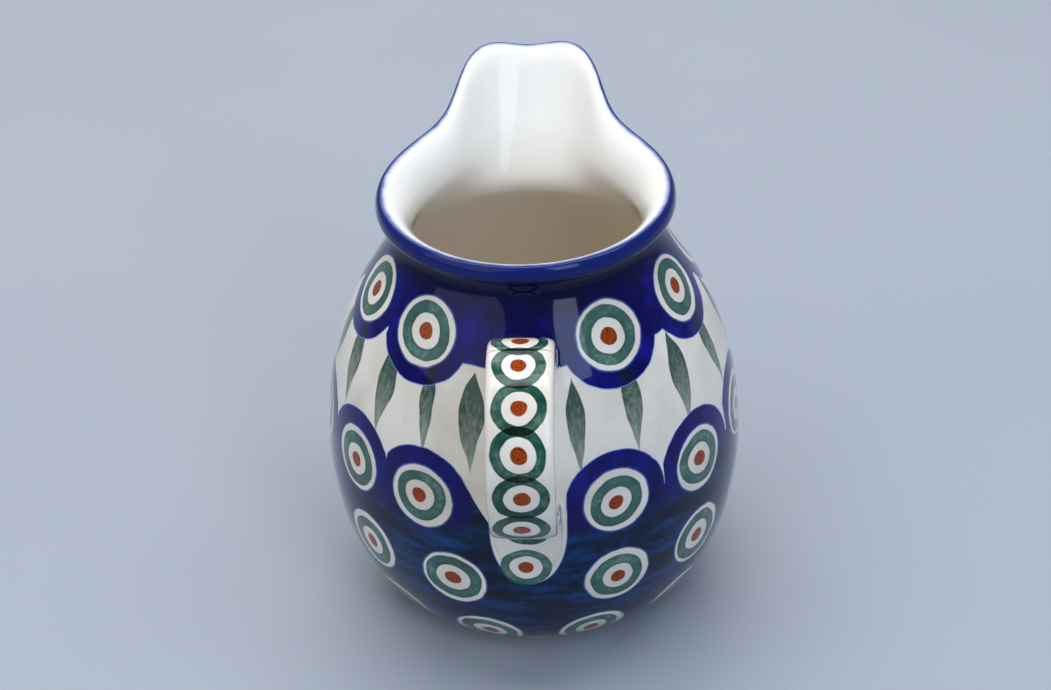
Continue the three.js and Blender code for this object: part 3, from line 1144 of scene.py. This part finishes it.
def blue_fields(brush, rise, wave, discs):
    """How much blue covers a point, and how much of the lower scallops is there."""
    top = brush.inside(discs[0], SCALLOP_RADII[0], FRINGE_EDGE)
    above = brush.smooth(rise + wave, UPPER_FIELD - FRINGE_EDGE, UPPER_FIELD + FRINGE_EDGE)
    second = brush.inside(discs[1], SCALLOP_RADII[1], FRINGE_EDGE)
    slope_start = FIELD_SLOPE_START - (brush.x > 0) * FIELD_SLOPE_SHIFT
    slope = brush.both((abs(brush.x) - slope_start) * FIELD_SLOPE, FIELD_SLOPE_TOP)
    behind_handle = brush.smooth(brush.y, *BEHIND_HANDLE_DEPTH)
    behind_handle = behind_handle * brush.smooth(abs(brush.x), *BEHIND_HANDLE_WIDTH)
    over_edge = rise - (LOWER_FIELD + slope * behind_handle)
    over_scallop = discs[1] - SCALLOP_RADII[1]
    over_field = brush.math("SMOOTH_MIN", over_scallop, over_edge, behind_handle * FIELD_JOIN)
    lower = brush.inside(over_field, 0, FRINGE_EDGE) * beside_reserve(brush)
    return brush.either(brush.either(top, above), lower), second


def blue_paint(brush, rise, wave, second, lip):
    """Navy low down, violet scallops, a neck of deep blue darkened further as painted shade, thin lines, and
    the lip's own blue made lighter as a painted sheen.
    """
    violet = violet_paint(brush)
    scalloped = second * brush.smooth(rise + wave, VIOLET_START, VIOLET_END)
    low = brush.mix(scalloped, navy_paint(brush), violet)
    # The neck: deep blue paint with painted shade under the overhanging lip.
    on_neck = brush.smooth(rise + wave * 3, lip - NECK_START, lip - NECK_END) * NECK_COVER
    # The lip: its blue made lighter all round as a painted sheen.
    on_lip = brush.smooth(rise, lip - LIP_START, lip - LIP_END) * LIP_COVER
    high = brush.mix(on_lip, brush.mix(on_neck, violet, NECK_BLUE_AND_SHADE), LIP_BLUE_AND_SHEEN)
    blue = brush.mix(rise > HIGH_BLUE, low, high)
    lines = 0
    for drop, strength in LIP_LINES:
        line = brush.inside(abs(rise - (lip - drop)), LINE_HALF_WIDTH, LINE_EDGE)
        lines = line * strength + lines
    return brush.mix(lines * brush.smooth(brush.texture(LINE_TEXTURE), 0.3, 0.6), blue, TEAL_LINE)


def lay_blue(brush, base, blue, covered):
    """Blue over the ground, run thin and pale along its edges."""
    stops = [(0.0, COBALT_FRINGE), (0.55, COBALT_FRINGE), (0.95, COBALT_THIN), (1.0, COBALT_THIN)]
    edge = brush.node("ShaderNodeValToRGB", {"stops": stops}, {"Fac": covered})
    painted = brush.mix(brush.smooth(covered, 0.72, 1.0), edge, blue)
    return brush.mix(brush.smooth(covered, 0.02, 0.6), base, painted)


def stamp_eyes(brush, base, cream, disc, ring):
    """Cream discs left in the blue, each with a green ring and a rust dot."""
    halo = brush.inside(disc, EYE_DISC + HALO_WIDTH, HALO_WIDTH)
    base = brush.mix(halo * HALO_COVER, base, COBALT_FRINGE)
    base = brush.mix(brush.inside(disc, EYE_DISC, PAINT_EDGE), base, cream)
    return stamp_on(brush, base, ring, EYE_STAMP)


def glaze_inside(brush, base, rise, lip):
    """White over the rim and down the inside, with the blue bleeding into its edge, and a warm painted shade
    deeper inside the jug.
    """
    # Painted shade: the inside goes darker and warmer below the throat.
    painted_shade_inside = brush.smooth(brush.height, THROAT_TOP, THROAT_TOP - PAINTED_SHADE_DEPTH)
    white = brush.mix(painted_shade_inside, INSIDE_WHITE, INSIDE_PAINTED_SHADE)
    rim_wave = (brush.texture(RIM_TEXTURE) - 0.5) * RIM_REACH
    over_lip = brush.smooth(rise + rim_wave, lip + OVER_LIP_START, lip + OVER_LIP_END)
    bleed = brush.inside(abs(rise + rim_wave - lip - BLEED_WIDTH), BLEED_WIDTH, BLEED_WIDTH)
    return brush.mix(bleed * BLEED_COVER, brush.mix(over_lip, base, white), COBALT_FRINGE)


def bare_foot(brush, base, rise, wave):
    """Leaves the foot unglazed; gives the colour there and how much glaze there is."""
    clay = brush.mix(brush.smooth(brush.texture(CLAY_TEXTURE), 0.45, 0.7), CLAY, CLAY_GRIT)
    glazed = brush.smooth(rise + wave * 0.1, FOOT_LINE - FOOT_LINE_BELOW, FOOT_LINE + FOOT_LINE_ABOVE)
    glazed = brush.either(glazed, rise < RECESS_GLAZE)
    return brush.mix(glazed, clay, base), glazed


def paint_body(material):
    brush = Brush(material)
    turn, arc, _ = brush.split(brush.node("ShaderNodeUVMap", {"uv_map": GLAZE_MAP}))
    rise = (arc - wall.foot_arc) / MM
    lip = wall.crest_arc / MM - wall.foot_arc / MM
    wave = (brush.texture(BRUSH_TEXTURE) - 0.5) * BRUSH_REACH

    eyes = [eye_distances(brush, turn, place, turns) for place, turns in EYE_ROWS]
    discs = [disc for disc, _ in eyes]
    disc, ring = eyes[0]
    for next_disc, next_ring in eyes[1:]:
        disc = brush.both(disc, next_disc)
        ring = brush.both(ring, next_ring)

    cream = cream_glaze(brush)
    leaf, leaf_tint = leaf_paint(brush, turn, rise)
    covered, second = blue_fields(brush, rise, wave, discs)
    blue = blue_paint(brush, rise, wave, second, lip)
    blue = brush.mix(leaf * covered * LEAF_COVER_UNDER_BLUE, blue, LEAF_THROUGH_BLUE)

    base = brush.mix(leaf * LEAF_COVER, cream, leaf_tint)
    base = lay_blue(brush, base, blue, covered)
    base = stamp_eyes(brush, base, cream, disc, ring)
    base = tongue_ring(brush, base)
    base = glaze_inside(brush, base, rise, lip)
    base, glazed = bare_foot(brush, base, rise, wave)
    glazed_surface(brush, base, glazed, covered)


# ---- The painting on the strap and on the slip ----


def chain_of_rings(brush, along, x, places):
    """Distance to the nearest ring of a chain stamped along the strap."""
    span = CHAIN_END - CHAIN_START
    shares = [(place - CHAIN_START) / span for place in places]
    stops = [(0.0, (shares[0], 0, 0, 1))]
    for before, after in zip(shares, shares[1:]):
        stops.append(((before + after) / 2, (after, 0, 0, 1)))
    share = (along - CHAIN_START) / span
    middle, _, _ = brush.split(nearest_mark(brush, share, stops))
    return brush.vector("LENGTH", brush.joined(x, (share - middle) * span, 0), out="Value")


def blue_beside_tongue(brush, base):
    """The lower blue field where it runs onto the strap's tongue and its slip."""
    blue = beside_reserve(brush) * (brush.height < RESERVE_SHOULDER)
    return brush.mix(blue, base, navy_paint(brush))


def paint_strap(material):
    brush = Brush(material)
    around, travelled, _ = brush.split(brush.node("ShaderNodeUVMap", {"uv_map": STRAP_MAP}))
    stray_x, stray_y, _ = brush.split(brush.vector("SUBTRACT", brush.shifted, brush.place))
    along = travelled / MM - strap_top / MM + stray_y
    x = brush.x + stray_x + CHAIN_ASIDE
    outer = brush.inside(abs(around - 0.5), OUTER_SHARE, 0.01)
    base = cream_glaze(brush)
    dot = 0
    # Every other ring at a time, because neighbours overlap and darken each other.
    for places in (RING_PLACES[0::2], RING_PLACES[1::2]):
        distance = chain_of_rings(brush, along, x, places)
        ring = stamp_ring(brush, distance, STRAP_STAMP) * outer
        base = brush.multiplied(ring, base, stamp_green(brush, distance, STRAP_STAMP))
        dot = brush.inside(distance, STRAP_STAMP["dot"], PAINT_EDGE) * outer + dot
    base = brush.mix(dot, base, rust_paint(brush))
    base = tongue_ring(brush, base)
    base = blue_beside_tongue(brush, base)
    glazed_surface(brush, base, 1.0, dot)


def paint_bead(material):
    """Cream like the strap, with the wall's blue brushed over the half that lies on the wall."""
    brush = Brush(material)
    base = tongue_ring(brush, cream_glaze(brush))
    base = blue_beside_tongue(brush, base)
    across, _, _ = brush.split(brush.node("ShaderNodeUVMap", {"uv_map": BEAD_MAP}))
    field_height = wall.at(UPPER_FIELD * MM)[1] / MM
    brushed = brush.smooth(across + (brush.texture(BEAD_TEXTURE) - 0.5) * 0.5, 0.3, 0.45)
    high_blue = brushed * brush.smooth(brush.height, field_height - 0.5, field_height + 0.5)
    base = brush.mix(high_blue, base, violet_paint(brush))
    glazed_surface(brush, base, 1.0, high_blue)


paint_body(body_finish)
paint_strap(strap_finish)
paint_bead(bead_finish)

# ---- Joining to the frame ----

for piece, node, slot in (
    (body, "body", "cobalt_glaze"),
    (strap, "handle", "cream_glaze"),
    (upper_bead, "upper_joint_slip", "luting_slip"),
    (lower_bead, "lower_joint_slip", "luting_slip"),
):
    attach(piece, "root")
    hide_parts(node)

# ---- Floor, light and camera ----

FLOOR_HALF = 3.0
FLOOR_CLOUDS = (6.0, 3)
FLOOR_PALE = colour(160, 169, 182)
FLOOR_SHADE = colour(153, 162, 176)
FLOOR_ROUGHNESS = 0.55


def make_floor():
    half = FLOOR_HALF
    corners = [(-half, -half, 0), (half, -half, 0), (half, half, 0), (-half, half, 0)]
    mesh = bpy.data.meshes.new("floor")
    mesh.from_pydata(corners, [], [(0, 1, 2, 3)])
    material = new_finish("pale_floor")
    maker = Maker(material.node_tree)
    place = maker.node("ShaderNodeTexCoord", {}, {}, "Object")
    base = maker.mix(maker.noise(place, *FLOOR_CLOUDS), FLOOR_PALE, FLOOR_SHADE)
    maker.surface({"Base Color": base, "Roughness": FLOOR_ROUGHNESS})
    mesh.materials.append(material)
    floor = placed("floor", mesh)


def soft_light(name, place, aim, size, power, tint=(1, 1, 1)):
    lamp = bpy.data.lights.new(name, "AREA")
    lamp.shape = "RECTANGLE"
    lamp.size, lamp.size_y = size
    lamp.energy = power
    lamp.color = tint
    holder = placed(name, lamp)
    holder.location = place
    holder.rotation_euler = (Vector(aim) - Vector(place)).to_track_quat("-Z", "Y").to_euler()


make_floor()
world = bpy.data.worlds.new("soft_sky")
bpy.context.scene.world = world
bpy.context.scene.view_settings.view_transform = "Standard"
world.use_nodes = True
sky = world.node_tree.nodes["Background"]
sky.inputs["Color"].default_value = (0.90, 0.94, 1.0, 1)
sky.inputs["Strength"].default_value = 0.28
soft_light("overhead", (0.08, 0.15, 1.35), (0.06, 0.15, 0), (0.34, 1.9), 13, (1, 0.99, 0.98))
soft_light("window", (0.6, -1.0, 0.95), (0, 0, 0.08), (0.45, 1.0), 7, (0.66, 0.81, 1))
soft_light("fill", (-1.3, -1.1, 1.4), (0, 0, 0.06), (2.3, 2.3), 15, (1, 0.98, 0.95))
soft_light("back", (-0.2, 1.1, 1.1), (0, 0, 0.08), (1.4, 0.8), 8, (1, 0.99, 0.97))

CAMERA_PLACE = (0.0272, -0.5637, 0.4802)
CAMERA_TURN = math.radians(-2.86)
CAMERA_DROP = math.radians(35.12)
CAMERA_ROLL = math.radians(-2.3)


def make_camera():
    view = bpy.data.cameras.new("camera")
    view.lens = 86.5
    view.sensor_width = 36
    view.sensor_fit = "HORIZONTAL"
    view.clip_start = 0.01
    camera = placed("camera", view)
    forward = Vector(
        (
            math.sin(CAMERA_TURN) * math.cos(CAMERA_DROP),
            math.cos(CAMERA_TURN) * math.cos(CAMERA_DROP),
            -math.sin(CAMERA_DROP),
        )
    )
    right = Vector((math.cos(CAMERA_TURN), -math.sin(CAMERA_TURN), 0))
    up = right.cross(forward)
    level = right * math.cos(CAMERA_ROLL) + up * math.sin(CAMERA_ROLL)
    upward = up * math.cos(CAMERA_ROLL) - right * math.sin(CAMERA_ROLL)
    turned = Matrix((level, upward, -forward)).transposed().to_4x4()
    turned.translation = CAMERA_PLACE
    camera.matrix_world = turned
    bpy.context.scene.camera = camera


make_camera()
